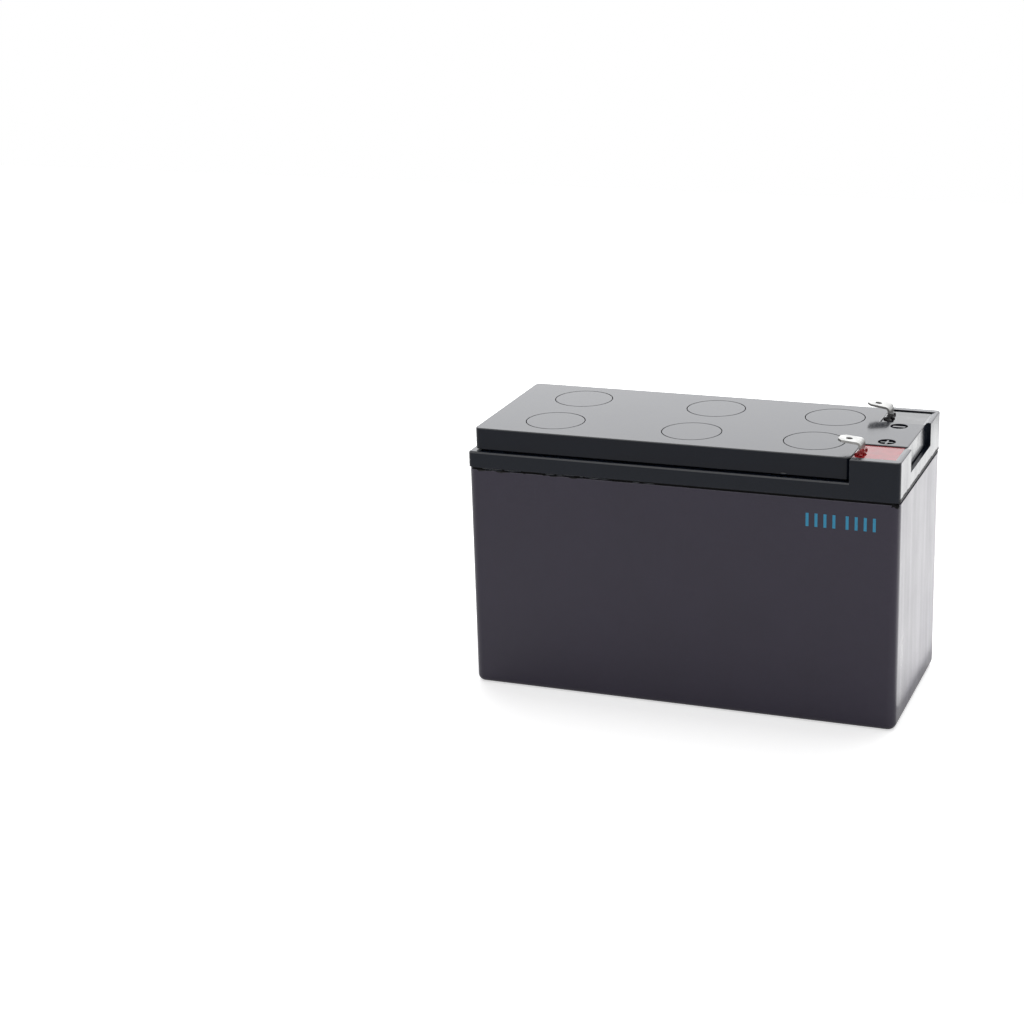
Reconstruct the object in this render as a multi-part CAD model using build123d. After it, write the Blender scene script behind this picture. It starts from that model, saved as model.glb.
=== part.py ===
from build123d import *
import os

# Sealed lead-acid battery with spade tabs, as used in a UPS battery cartridge. Millimetres.
# The origin is at the centre of the base: X runs along the case, Y across it and Z up.

# Case
case_length = 151.0
case_width = 65.0
case_height = 94.0
wall = 2.3
partition = 1.5
floor_thickness = 2.5
container_corner_radius = 3.0
container_base_radius = 2.4

# Joint between container and lid
joint_thickness = 0.8
joint_recess = 0.6

# Lid
lid_band_height = 5.6
lid_corner_radius = 1.6
lid_edge_radius = 0.4
ledge_edge_radius = 0.8
deck_thickness = 2.5
upstand_thickness = 1.4
upstand_clearance = 0.3

# Top cover, set in from the lid's edge, with a tongue between the terminal towers
cover_drop = 8.0
cover_inset = 2.0
cover_thickness = 2.5
cover_skirt = 1.6
cover_lift = 0.5
cover_gap = 0.1
cover_corner_radius = 2.0
cover_edge_radius = 0.4
tongue_width = 27.6

# Vents: a disc in the cover over a rubber cap on a tube of the lid
disc_diameter = 20.2
disc_clearance = 0.3
disc_thickness = 1.6
disc_seat = 2.2
vent_row_inset = 0.8
end_vent_margin = 16.0
tube_diameter = 7.0
tube_bore = 3.0
tube_height = 3.8
cap_wall = 1.3
cap_roof = 1.2
cap_lift = 0.4

# Terminal towers at the right end of the lid, and the notch at the tongue's end
tower_length = 16.8
well_depth = 6.0
well_side_rim = 3.0
well_end_rim = 2.5
well_inner_rim = 0.9
well_corner_radius = 1.0
rim_bevel = 1.5
notch_width = 32.0
notch_depth = 1.6
mark_diameter = 5.9
mark_depth = 0.8
mark_setback = 9.6
mark_spacing = 19.0

# Resin in the terminal wells, lapped over their inner walls
potting_drop = 0.4
potting_lap = 0.8
mound_side = 0.5
mound_end = 1.2
mound_height = 0.8
mound_round = 0.6

# Spade tabs
tab_width = 6.35
tab_thickness = 0.8
tab_setback = 0.7
tab_rise = 3.2
tab_reach = 7.6
tab_bend = 1.3
tab_foot_margin = 4.2
tab_tip_chamfer = 1.4
tab_hole = 2.2
tab_hole_margin = 3.4
positive_tab_slope = 5.0
negative_tab_slope = 8.5

# Lead posts
post_diameter = 4.2
post_head_diameter = 6.0
post_head_height = 1.5
post_clearance = 0.1

# Plate groups
positive_plates = 4
positive_share = 0.40
negative_share = 0.34
stack_clearance = 0.125
plate_side_gap = 1.4
mat_side_gap = 0.7
mat_rise = 1.5
headspace = 14.4
lug_width = 6.0
lug_height = 3.0
lug_inset = 5.0
strap_width = 8.0
strap_thickness = 3.0
flag_width = 10.0
flag_thickness = 3.0
flag_height = 8.5
link_diameter = 6.0
link_clearance = 0.1
link_rise = 5.0

# How far a cut runs past the face that it opens
overshoot = 1.0

# Half sizes and levels
half_length = case_length / 2
half_width = case_width / 2
ledge_z = case_height - cover_drop
joint_top_z = ledge_z - lid_band_height
rim_z = joint_top_z - joint_thickness
deck_under_z = ledge_z - deck_thickness
cover_under_z = case_height - cover_thickness
skirt_z = ledge_z + cover_lift
disc_seat_z = case_height - disc_thickness
tube_top_z = ledge_z + tube_height
well_floor_z = case_height - well_depth
potting_z = case_height - potting_drop
lap_z = potting_z - potting_lap

# Cells: column along X and side along Y, in series order from the positive end
CELLS = [(1, -1), (0, -1), (-1, -1), (-1, 1), (0, 1), (1, 1)]
cell_length = (case_length - 2 * wall - 2 * partition) / 3
cell_width = (case_width - 2 * wall - partition) / 2
stack_width = cell_width - 2 * stack_clearance
negative_plates = positive_plates + 1
positive_plate = positive_share * stack_width / positive_plates
negative_plate = negative_share * stack_width / negative_plates
mat = (1 - positive_share - negative_share) * stack_width / (2 * positive_plates)
plate_pitch = positive_plate + negative_plate + 2 * mat
plate_width = cell_length - 2 * plate_side_gap
plate_z = floor_thickness + mat
plate_top_z = rim_z - headspace
strap_z = plate_top_z + lug_height
link_z = strap_z + link_rise

# Cover outline
cover_x0 = -half_length + cover_inset
tower_x0 = half_length - tower_length
cover_x1 = tower_x0 - cover_gap
cover_y = half_width - cover_inset
tongue_x1 = half_length - notch_depth
tongue_y = tongue_width / 2

# Terminal towers, their wells and what stands in them
tower_y0 = tongue_y + cover_gap
well_x0 = tower_x0 + well_inner_rim
well_x1 = half_length - well_end_rim
well_y0 = tower_y0 + well_inner_rim
well_y1 = half_width - well_side_rim
post_x = (well_x0 + well_x1) / 2
tab_x = well_x0 + tab_setback
tab_y = (tower_y0 + well_y1) / 2


def span_box(x0, x1, y0, y1, z0, z1):
    """A box between two corners, given in either order."""
    centre = Pos((x0 + x1) / 2, (y0 + y1) / 2, (z0 + z1) / 2)
    return centre * Box(abs(x1 - x0), abs(y1 - y0), abs(z1 - z0))


def slab(x0, x1, y0, y1, z0, z1, radius):
    """A box between two corners with rounded upright edges."""
    outline = RectangleRounded(abs(x1 - x0), abs(y1 - y0), radius)
    return Pos((x0 + x1) / 2, (y0 + y1) / 2, z0) * extrude(outline, z1 - z0)


def upright(x, y, diameter, z0, z1):
    """A round bar along Z."""
    return Pos(x, y, (z0 + z1) / 2) * Cylinder(diameter / 2, z1 - z0)


def cell_centre(column, side):
    """The middle of a cell in plan."""
    return column * (cell_length + partition), side * (cell_width + partition) / 2


def cell_space(column, side, z0, z1):
    """The room inside a cell between two levels."""
    x, y = cell_centre(column, side)
    dx, dy = cell_length / 2, cell_width / 2
    return span_box(x - dx, x + dx, y - dy, y + dy, z0, z1)


def vent_centre(column, side):
    """Where a cell's vent stands: the end cells' vents make room for the terminal towers."""
    x, y = cell_centre(column, side)
    if column == 1:
        x = cover_x1 - end_vent_margin
    return x, y - side * vent_row_inset


def strap_x(column, side, polarity):
    """The middle of a strap along X: positive straps lie to the right in front and to the left behind."""
    end = -side * polarity
    inset = lug_inset + strap_width / 2 - lug_width / 2
    return cell_centre(column, side)[0] + end * (plate_width / 2 - inset)


def link_bar(first, second, diameter):
    """The bar through the partition between two cells that follow each other."""
    bar = Cylinder(diameter / 2, partition + 2 * stack_clearance)
    if first[1] == second[1]:
        x, y = cell_centre((first[0] + second[0]) / 2, first[1])
        return Pos(x, y, link_z) * Rot(0, 90, 0) * bar
    return Pos(strap_x(*first, -1), 0, link_z) * Rot(90, 0, 0) * bar


def container():
    """The lower case, open at the top, with its six cells and the link holes."""
    body = slab(-half_length, half_length, -half_width, half_width, 0, rim_z, container_corner_radius)
    body = fillet(body.faces().sort_by(Axis.Z)[0].edges(), container_base_radius)
    for cell in CELLS:
        body -= cell_space(*cell, floor_thickness, rim_z + overshoot)
    for first, second in zip(CELLS, CELLS[1:]):
        body -= link_bar(first, second, link_diameter + 2 * link_clearance)
    return body


def joint_sealant():
    """The resin between the walls of the container and of the lid, set back from the outside."""
    x, y = half_length - joint_recess, half_width - joint_recess
    body = slab(-x, x, -y, y, rim_z, joint_top_z, lid_corner_radius)
    for cell in CELLS:
        body -= cell_space(*cell, rim_z, joint_top_z)
    return body


def terminal_tower(side):
    """One raised corner at the right end of the lid, before its recesses are cut."""
    tower = slab(-half_length, half_length, -half_width, half_width, ledge_z, case_height, lid_corner_radius)
    tower &= span_box(tower_x0, half_length, side * tower_y0, side * half_width, ledge_z, case_height)
    return fillet(tower.faces().sort_by(Axis.Z)[-1].edges(), lid_edge_radius)


def well(side, top_z):
    """The room for resin in a tower up to a level: a deep well and a lap over its inner walls."""
    room = slab(well_x0, well_x1, side * well_y0, side * well_y1, well_floor_z, top_z, well_corner_radius)
    return room + span_box(tower_x0, well_x1, side * tower_y0, side * well_y1, lap_z, top_z)


def tower_recesses(side):
    """What is cut from a terminal tower: its well, the bevel of the end rim and the post's hole."""
    slope = Polygon(
        (well_x1, potting_z), (well_x1 + rim_bevel, case_height), (well_x1, case_height), align=None
    )
    bevel = Pos(0, side * well_y1, 0) * extrude(Plane.XZ * slope, side * (well_y1 - tower_y0))
    hole = upright(post_x, side * tab_y, post_diameter + 2 * post_clearance, deck_under_z, well_floor_z)
    return [well(side, case_height + overshoot), bevel, hole]


def cover_upstand():
    """The rectangular wall on the lid's deck that carries the top cover."""
    inset = cover_skirt + upstand_clearance
    x0, x1, y = cover_x0 + inset, cover_x1 - inset, cover_y - inset
    t = upstand_thickness
    ring = span_box(x0, x1, -y, y, ledge_z, cover_under_z)
    return ring - span_box(x0 + t, x1 - t, -y + t, y - t, ledge_z, cover_under_z)


def lid():
    """The upper moulding: band, deck, vent tubes, cover upstand and terminal towers."""
    body = slab(-half_length, half_length, -half_width, half_width, joint_top_z, ledge_z, lid_corner_radius)
    body += [terminal_tower(-1), terminal_tower(1)]
    ledge_edges = [
        e
        for e in body.edges().filter_by_position(Axis.Z, ledge_z, ledge_z)
        if e.center().X < tower_x0 and (abs(e.center().Y) > cover_y or e.center().X < cover_x0)
    ]
    body = fillet(ledge_edges, ledge_edge_radius)
    for cell in CELLS:
        body -= cell_space(*cell, joint_top_z - overshoot, deck_under_z)
    body -= tower_recesses(-1) + tower_recesses(1)
    body -= span_box(
        tongue_x1, half_length + overshoot, -notch_width / 2, notch_width / 2, ledge_z, case_height + overshoot
    )
    body += cover_upstand()
    for cell in CELLS:
        x, y = vent_centre(*cell)
        body += upright(x, y, tube_diameter, ledge_z, tube_top_z)
        body -= upright(x, y, tube_bore, deck_under_z, tube_top_z)
    return body


def top_cover():
    """The skirted plate over the vents, with its tongue, disc seats and the recesses for the signs."""
    t = cover_skirt
    body = slab(cover_x0, cover_x1, -cover_y, cover_y, skirt_z, case_height, cover_corner_radius)
    body += span_box(cover_x1 - t, tongue_x1, -tongue_y, tongue_y, skirt_z, case_height)
    body = fillet(body.faces().sort_by(Axis.Z)[-1].edges(), cover_edge_radius)
    body -= span_box(cover_x0 + t, cover_x1 - t, -cover_y + t, cover_y - t, skirt_z, cover_under_z)
    body -= span_box(cover_x1 - t, tongue_x1 - t, -tongue_y + t, tongue_y - t, skirt_z, cover_under_z)
    for cell in CELLS:
        x, y = vent_centre(*cell)
        body -= upright(x, y, disc_diameter + 2 * disc_clearance, disc_seat_z, case_height + overshoot)
        body -= upright(x, y, disc_diameter - 2 * disc_seat, cover_under_z, disc_seat_z)
    mark_z = case_height - mark_depth
    for y in (-mark_spacing / 2, mark_spacing / 2):
        body -= upright(half_length - mark_setback, y, mark_diameter, mark_z, case_height + overshoot)
    return body


def vent_disc(cell):
    """A round disc, flush with the cover."""
    return upright(*vent_centre(*cell), disc_diameter, disc_seat_z, case_height)


def valve_cap(cell):
    """The rubber cap that shuts a vent tube and lifts under pressure."""
    x, y = vent_centre(*cell)
    cup = upright(x, y, tube_diameter + 2 * cap_wall, ledge_z + cap_lift, tube_top_z + cap_roof)
    return cup - upright(x, y, tube_diameter, ledge_z + cap_lift, tube_top_z)


def tab(side, slope):
    """A spade tab: a foot in the well, an upright and a blade bent over towards the cover."""
    bend_z = case_height + tab_rise
    tip_x = tab_x - tab_reach
    foot_x = post_x + tab_foot_margin
    foot_z = well_floor_z + tab_thickness / 2
    rise = Vector(-tab_reach, 0).rotate(Axis.Z, -slope).Y
    path = FilletPolyline(
        (foot_x, foot_z), (tab_x, foot_z), (tab_x, bend_z), (tip_x, bend_z + rise), radius=tab_bend
    )
    strip = extrude(Plane.XZ * trace(path, tab_thickness), tab_width / 2, both=True)
    blank = span_box(tip_x, foot_x + overshoot, -tab_width / 2, tab_width / 2, 0, 2 * case_height)
    tip_edges = blank.edges().filter_by(Axis.Z).group_by(Axis.X)[0]
    strip &= chamfer(tip_edges, tab_tip_chamfer)
    strip -= upright(tip_x + tab_hole_margin, 0, tab_hole, case_height, 2 * case_height)
    strip -= upright(post_x, 0, post_diameter, 0, bend_z)
    return Pos(0, side * tab_y, 0) * strip


def post(side):
    """A lead post on its strap, burned over the tab's foot."""
    foot_top_z = well_floor_z + tab_thickness
    bar = upright(post_x, side * tab_y, post_diameter, strap_z + strap_thickness, foot_top_z)
    return bar + upright(post_x, side * tab_y, post_head_diameter, foot_top_z, foot_top_z + post_head_height)


def potting(side, slope):
    """The resin that fills a terminal well, heaped up round the tab."""
    mound_x1 = tab_x + tab_thickness / 2 + mound_side
    reach = tab_width / 2 + mound_end
    y = side * tab_y
    mound = slab(tower_x0, mound_x1, y - reach, y + reach, lap_z, potting_z + mound_height, mound_round)
    mound = fillet(mound.faces().sort_by(Axis.Z)[-1].edges(), mound_round)
    return well(side, potting_z) + mound - tab(side, slope) - post(side)


def plate_start(cell, polarity, index):
    """Where a plate begins along Y: negative plates are the outer ones of each cell."""
    first = cell_centre(*cell)[1] - stack_width / 2 + index * plate_pitch
    return first if polarity < 0 else first + negative_plate + mat


def flag(cell, polarity, neighbour):
    """The upstand of a strap that meets the link to a neighbouring cell."""
    x, y = cell_centre(*cell)
    column, side = cell
    middle = strap_x(column, side, polarity)
    z0, z1 = strap_z, strap_z + flag_height
    if neighbour[1] == side:
        end = neighbour[0] - column
        edge = x + end * (cell_length / 2 - stack_clearance)
        return span_box(middle, edge, y - flag_width / 2, y + flag_width / 2, z0, z1)
    edge = y - side * stack_width / 2
    return span_box(
        middle - strap_width / 2, middle + strap_width / 2, edge, edge + side * flag_thickness, z0, z1
    )


def plate_group(number, polarity):
    """The plates of one polarity in a cell, with their lugs, cast-on strap and link flag."""
    cell = CELLS[number]
    x, y = cell_centre(*cell)
    middle = strap_x(*cell, polarity)
    thickness = positive_plate if polarity > 0 else negative_plate
    count = positive_plates if polarity > 0 else negative_plates
    half = strap_width / 2
    ends = y - stack_width / 2, y + stack_width / 2
    pieces = [span_box(middle - half, middle + half, *ends, strap_z, strap_z + strap_thickness)]
    for index in range(count):
        y0 = plate_start(cell, polarity, index)
        y1 = y0 + thickness
        pieces.append(span_box(x - plate_width / 2, x + plate_width / 2, y0, y1, plate_z, plate_top_z))
        pieces.append(span_box(middle - lug_width / 2, middle + lug_width / 2, y0, y1, plate_top_z, strap_z))
    neighbour = number - polarity
    if 0 <= neighbour < len(CELLS):
        pieces.append(flag(cell, polarity, CELLS[neighbour]))
    return Part() + pieces


def separators(number):
    """The glass mats of a cell, each folded under and round one positive plate."""
    cell = CELLS[number]
    x = cell_centre(*cell)[0]
    half = cell_length / 2 - mat_side_gap
    top_z = plate_top_z + mat_rise
    folds = []
    for index in range(positive_plates):
        y0 = plate_start(cell, 1, index)
        y1 = y0 + positive_plate
        fold = span_box(x - half, x + half, y0 - mat, y1 + mat, floor_thickness, top_z)
        folds.append(fold - span_box(x - half, x + half, y0, y1, plate_z, top_z))
    return Part() + folds


def build():
    """Every piece by its node name."""
    nodes = {
        "container": container(),
        "joint_sealant": joint_sealant(),
        "lid": lid(),
        "top_cover": top_cover(),
        "positive_tab": tab(-1, positive_tab_slope),
        "negative_tab": tab(1, negative_tab_slope),
        "positive_post": post(-1),
        "negative_post": post(1),
        "positive_potting": potting(-1, positive_tab_slope),
        "negative_potting": potting(1, negative_tab_slope),
    }
    for number, cell in enumerate(CELLS):
        nodes[f"vent_disc_{number + 1}"] = vent_disc(cell)
        nodes[f"valve_cap_{number + 1}"] = valve_cap(cell)
        nodes[f"cell_{number + 1}_positive_plates"] = plate_group(number, 1)
        nodes[f"cell_{number + 1}_negative_plates"] = plate_group(number, -1)
        nodes[f"cell_{number + 1}_separators"] = separators(number)
    for number, pair in enumerate(zip(CELLS, CELLS[1:])):
        nodes[f"intercell_link_{number + 1}"] = link_bar(*pair, link_diameter)
    return nodes


os.makedirs("parts", exist_ok=True)
for name, solid in build().items():
    export_step(solid, f"parts/{name}.step")
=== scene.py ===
"""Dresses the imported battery: shells with rounded edges, finishes, signs, print and a small studio."""

import math
import random

import bmesh
import bpy
from mathutils import Matrix, Vector, noise


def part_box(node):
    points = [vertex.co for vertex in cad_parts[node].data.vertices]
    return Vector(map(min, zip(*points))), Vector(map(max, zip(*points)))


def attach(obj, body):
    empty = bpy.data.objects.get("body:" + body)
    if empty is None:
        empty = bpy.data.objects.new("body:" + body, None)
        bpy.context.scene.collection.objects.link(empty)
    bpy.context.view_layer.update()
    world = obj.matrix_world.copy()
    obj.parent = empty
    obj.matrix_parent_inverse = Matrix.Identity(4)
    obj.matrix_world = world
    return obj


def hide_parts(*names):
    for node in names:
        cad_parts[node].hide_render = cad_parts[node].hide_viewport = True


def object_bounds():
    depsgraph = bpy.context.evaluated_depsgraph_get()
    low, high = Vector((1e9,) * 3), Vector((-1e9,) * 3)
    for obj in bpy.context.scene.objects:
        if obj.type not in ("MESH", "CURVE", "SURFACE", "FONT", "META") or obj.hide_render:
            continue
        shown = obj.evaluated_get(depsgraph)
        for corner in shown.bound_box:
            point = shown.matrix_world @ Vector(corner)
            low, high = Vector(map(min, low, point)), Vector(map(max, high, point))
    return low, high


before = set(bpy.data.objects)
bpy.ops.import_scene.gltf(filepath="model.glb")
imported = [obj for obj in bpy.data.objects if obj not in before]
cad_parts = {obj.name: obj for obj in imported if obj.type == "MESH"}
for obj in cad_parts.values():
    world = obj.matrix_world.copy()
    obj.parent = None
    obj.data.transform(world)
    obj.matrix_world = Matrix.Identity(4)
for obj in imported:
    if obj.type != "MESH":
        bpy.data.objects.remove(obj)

bl_info = {
    "name": "Sealed Battery Dresser",
    "version": (1, 0, 0),
    "blender": (4, 5, 0),
    "location": "View3D > Sidebar > Battery",
    "description": "Builds the shells, finishes, signs and studio of a sealed battery with spade tabs",
    "category": "Object",
}

MILLIMETRE = 0.001
IMAGE_WIDTH = 1024
SENSOR_WIDTH = 36.0
BODY = "root"

CELL_NUMBERS = range(1, 7)
LINK_NUMBERS = range(1, 6)
POLARITIES = ("positive", "negative")

# Vertices nearer than this are one, and faces that turn less than this are one flat face
WELD_DISTANCE = 0.002 * MILLIMETRE
FLAT_ANGLE = math.radians(0.4)

# Resin lumps at a tab: along X in drop radii, across in tab widths, down and their size in drop radii
DROPS = (
    (0.25, -0.02, 0.15, 0.9),
    (0.75, 0.05, -0.5, 0.45),
    (-0.35, -0.1, 0.5, 0.55),
    (0.5, -0.26, 0.6, 0.55),
    (1.0, 0.12, 0.5, 0.55),
    (0.7, 0.5, 0.6, 0.45),
    (0.6, 0.85, 0.5, 0.45),
    (0.2, 1.06, 0.5, 0.5),
)

# Beads of flash: the seed of their chance, and the ranges of half their length and of their radius
FLASH_SEED = 7
BEAD_HALF_LENGTHS = (0.15, 0.5)
BEAD_RADII = (0.6, 1.0)

# Resin lumps at a corner of the joint, in lump sizes: in from the end, in from the side, and their radius
CORNER_SEED = 3
CORNER_DROPS = (
    (0.95, 0.95, 0.75),
    (1.45, 0.8, 0.75),
)

# A resin lump: steps of its sphere, how far its skin swells, how close the swells lie and where they begin
DROP_STEPS = 4
SWELL = 0.45
SWELL_SCALE = 1.3
SWELL_START = 50.0

# How far each effect changes the colour of a moulded plastic, and its roughness
WEAR_TINT = 0.5
SCUFF_TINT = 0.15
DUST_TINT = 0.3
# The painted highlight on rounded upper edges: how far its paler colour is laid over the plastic
EDGE_HIGHLIGHT_TINT = 0.8
SCUFF_DULL = 0.06
STREAK_DULL = 0.03
DUST_DULL = 0.2
DUST_COLOUR = (0.32, 0.31, 0.3)

# How much rougher print and spilt resin are than the plastic under them
INK_DULL = 0.1
SMEAR_DULL = 0.3
WIPED_DULL = 0.4

# The studio: places and sizes in metres, how strongly the floor glows where it is seen, and the share
# of the floor and of the room that mirrors show
WHITE = (1.0, 1.0, 1.0)
FLOOR_COLOUR = (0.9, 0.9, 0.9)
FLOOR_WIDTH = 1.8
FLOOR_GLOW = 0.53
FLOOR_IN_MIRRORS = 0.5
ROOM_IN_MIRRORS = 1.0
BACKDROP_PLACE = Vector((-0.25, 0.95, 0.45))
BACKDROP_SIZE = (1.5, 0.85)
TABLE_PLACE = Vector((0.198, 0.15, 0.004))
TABLE_SIZE = (0.24, 0.34)
OVERHEAD_PLACE = Vector((0.0, 0.45, 0.95))
OVERHEAD_SIZE = (0.9, 0.9)
UP = Vector((0.0, 0.0, 1.0))

# The frame's own sizes, in metres
CAD_LOW, CAD_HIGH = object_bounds()
CONTAINER_LOW, CONTAINER_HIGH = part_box("container")
LID_LOW, LID_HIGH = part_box("lid")
COVER_LOW, COVER_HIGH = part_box("top_cover")
SEALANT_LOW, SEALANT_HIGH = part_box("joint_sealant")


class ShellSizes(bpy.types.PropertyGroup):
    """Sizes of the rounded edges and of the small forms that the solids leave out."""

    shell_edge: bpy.props.FloatProperty(
        name="Shell edge",
        description="Radius on the sharp edges of the container, lid and cover",
        default=0.2 * MILLIMETRE,
        unit="LENGTH",
    )
    disc_edge: bpy.props.FloatProperty(
        name="Disc edge",
        description="Radius on the rim of each vent disc",
        default=0.12 * MILLIMETRE,
        unit="LENGTH",
    )
    metal_edge: bpy.props.FloatProperty(
        name="Metal edge",
        description="Radius on the stamped edges of the tabs",
        default=0.12 * MILLIMETRE,
        unit="LENGTH",
    )
    resin_edge: bpy.props.FloatProperty(
        name="Resin edge",
        description="Radius on the edges of the resin in the wells",
        default=0.25 * MILLIMETRE,
        unit="LENGTH",
    )
    edge_segments: bpy.props.IntProperty(
        name="Edge segments",
        description="Steps in each rounded edge",
        default=3,
        min=1,
    )
    crease_angle: bpy.props.FloatProperty(
        name="Crease angle",
        description="An edge that turns more than this is rounded",
        default=math.radians(33.0),
        subtype="ANGLE",
    )
    sign_span: bpy.props.FloatProperty(
        name="Sign span",
        description="Length of the bars of the plus and minus signs",
        default=4.3 * MILLIMETRE,
        unit="LENGTH",
    )
    plus_bar: bpy.props.FloatProperty(
        name="Plus bar",
        description="Width of the bars of the plus",
        default=0.8 * MILLIMETRE,
        unit="LENGTH",
    )
    minus_bar: bpy.props.FloatProperty(
        name="Minus bar",
        description="Width of the bar of the minus",
        default=1.3 * MILLIMETRE,
        unit="LENGTH",
    )
    sign_setback: bpy.props.FloatProperty(
        name="Sign setback",
        description="From the right end of the case to the middle of the signs",
        default=9.6 * MILLIMETRE,
        unit="LENGTH",
    )
    sign_spacing: bpy.props.FloatProperty(
        name="Sign spacing",
        description="From the plus to the minus",
        default=19.0 * MILLIMETRE,
        unit="LENGTH",
    )
    sign_recess: bpy.props.FloatProperty(
        name="Sign recess",
        description="Depth of the round recesses that hold the signs",
        default=0.8 * MILLIMETRE,
        unit="LENGTH",
    )
    sign_drop: bpy.props.FloatProperty(
        name="Sign drop",
        description="How far the signs stay below the cover's top",
        default=0.15 * MILLIMETRE,
        unit="LENGTH",
    )
    bead_count: bpy.props.IntProperty(
        name="Bead count",
        description="Beads of flash along each long side of the joint",
        default=26,
        min=0,
    )
    bead_length: bpy.props.FloatProperty(
        name="Bead length",
        description="Longest bead of flash in the joint",
        default=5.0 * MILLIMETRE,
        unit="LENGTH",
    )
    bead_radius: bpy.props.FloatProperty(
        name="Bead radius",
        description="Half the thickness of a bead of flash",
        default=0.45 * MILLIMETRE,
        unit="LENGTH",
    )
    corner_lump: bpy.props.FloatProperty(
        name="Corner lump",
        description="Size of the lump of resin at each right corner of the joint",
        default=1.5 * MILLIMETRE,
        unit="LENGTH",
    )
    blade_reach: bpy.props.FloatProperty(
        name="Blade reach",
        description="From the tip of a tab's blade to the middle of its upright",
        default=7.6 * MILLIMETRE,
        unit="LENGTH",
    )
    drop_radius: bpy.props.FloatProperty(
        name="Drop radius",
        description="Radius of the largest lump of resin at a tab's foot",
        default=1.3 * MILLIMETRE,
        unit="LENGTH",
    )
    pip_setback: bpy.props.FloatProperty(
        name="Pip setback",
        description="From the right end of the case to the gate pips under the cover's long sides",
        default=39.2 * MILLIMETRE,
        unit="LENGTH",
    )
    pip_width: bpy.props.FloatProperty(
        name="Pip width",
        description="Width of a gate pip",
        default=2.2 * MILLIMETRE,
        unit="LENGTH",
    )


class Finishes(bpy.types.PropertyGroup):
    """Base colours of the pieces."""

    case_plastic: bpy.props.FloatVectorProperty(
        name="Case plastic",
        description="Charcoal of the container",
        default=(0.028, 0.0225, 0.041),
        subtype="COLOR",
        size=3,
    )
    lid_plastic: bpy.props.FloatVectorProperty(
        name="Lid plastic",
        description="Black of the lid",
        default=(0.005, 0.0075, 0.014),
        subtype="COLOR",
        size=3,
    )
    cover_plastic: bpy.props.FloatVectorProperty(
        name="Cover plastic",
        description="Black of the top cover and its discs",
        default=(0.004, 0.006, 0.012),
        subtype="COLOR",
        size=3,
    )
    red_resin: bpy.props.FloatVectorProperty(
        name="Red resin",
        description="Resin of the positive well",
        default=(0.3, 0.008, 0.012),
        subtype="COLOR",
        size=3,
    )
    black_resin: bpy.props.FloatVectorProperty(
        name="Black resin",
        description="Resin of the negative well",
        default=(0.006, 0.006, 0.007),
        subtype="COLOR",
        size=3,
    )
    joint_resin: bpy.props.FloatVectorProperty(
        name="Joint resin",
        description="Resin between the container and the lid",
        default=(0.003, 0.003, 0.0035),
        subtype="COLOR",
        size=3,
    )
    tin: bpy.props.FloatVectorProperty(
        name="Tin",
        description="Tinned metal of the tabs",
        default=(0.38, 0.38, 0.37),
        subtype="COLOR",
        size=3,
    )
    lead: bpy.props.FloatVectorProperty(
        name="Lead",
        description="Grey of the posts, straps and links",
        default=(0.3, 0.31, 0.33),
        subtype="COLOR",
        size=3,
    )
    positive_paste: bpy.props.FloatVectorProperty(
        name="Positive paste",
        description="Brown of the positive plates",
        default=(0.09, 0.035, 0.018),
        subtype="COLOR",
        size=3,
    )
    negative_paste: bpy.props.FloatVectorProperty(
        name="Negative paste",
        description="Grey of the negative plates",
        default=(0.2, 0.21, 0.22),
        subtype="COLOR",
        size=3,
    )
    glass_mat: bpy.props.FloatVectorProperty(
        name="Glass mat",
        description="White of the separators",
        default=(0.78, 0.78, 0.75),
        subtype="COLOR",
        size=3,
    )
    valve_rubber: bpy.props.FloatVectorProperty(
        name="Valve rubber",
        description="Black of the valve caps",
        default=(0.02, 0.02, 0.021),
        subtype="COLOR",
        size=3,
    )
    ink: bpy.props.FloatVectorProperty(
        name="Print ink",
        description="Blue of the print on the front",
        default=(0.035, 0.29, 0.49),
        subtype="COLOR",
        size=3,
    )


class Studio(bpy.types.PropertyGroup):
    """Camera and light of the studio."""

    camera_place: bpy.props.FloatVectorProperty(
        name="Camera place",
        description="Where the camera stands",
        default=(0.2175, -0.7184, 0.3109),
        subtype="TRANSLATION",
        unit="LENGTH",
        size=3,
    )
    camera_heading: bpy.props.FloatProperty(
        name="Camera heading",
        description="Turn of the camera about the vertical, from looking along Y",
        default=math.radians(22.0),
        subtype="ANGLE",
    )
    camera_dip: bpy.props.FloatProperty(
        name="Camera dip",
        description="How far the camera looks down",
        default=math.radians(18.37),
        subtype="ANGLE",
    )
    camera_roll: bpy.props.FloatProperty(
        name="Camera roll",
        description="Turn of the camera about its own view",
        default=math.radians(-1.89),
        subtype="ANGLE",
    )
    camera_focal_pixels: bpy.props.FloatProperty(
        name="Focal length in pixels",
        description="Focal length measured in pixels of the picture",
        default=2250.0,
    )
    ambient: bpy.props.FloatProperty(
        name="Ambient",
        description="Strength of the room's light on matt surfaces",
        default=0.55,
    )
    backdrop_power: bpy.props.FloatProperty(
        name="Backdrop power",
        description="Power of the tall soft panel behind the battery",
        default=6.35,
        unit="POWER",
    )
    backdrop_colour: bpy.props.FloatVectorProperty(
        name="Backdrop colour",
        description="Colour of the light from the panel behind",
        default=(0.96, 0.97, 1.0),
        subtype="COLOR",
        size=3,
    )
    table_power: bpy.props.FloatProperty(
        name="Table power",
        description="Power of the flat panel on the floor behind the right end",
        default=0.35,
        unit="POWER",
    )
    overhead_power: bpy.props.FloatProperty(
        name="Overhead power",
        description="Power of the soft panel above",
        default=6.0,
        unit="POWER",
    )


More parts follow.
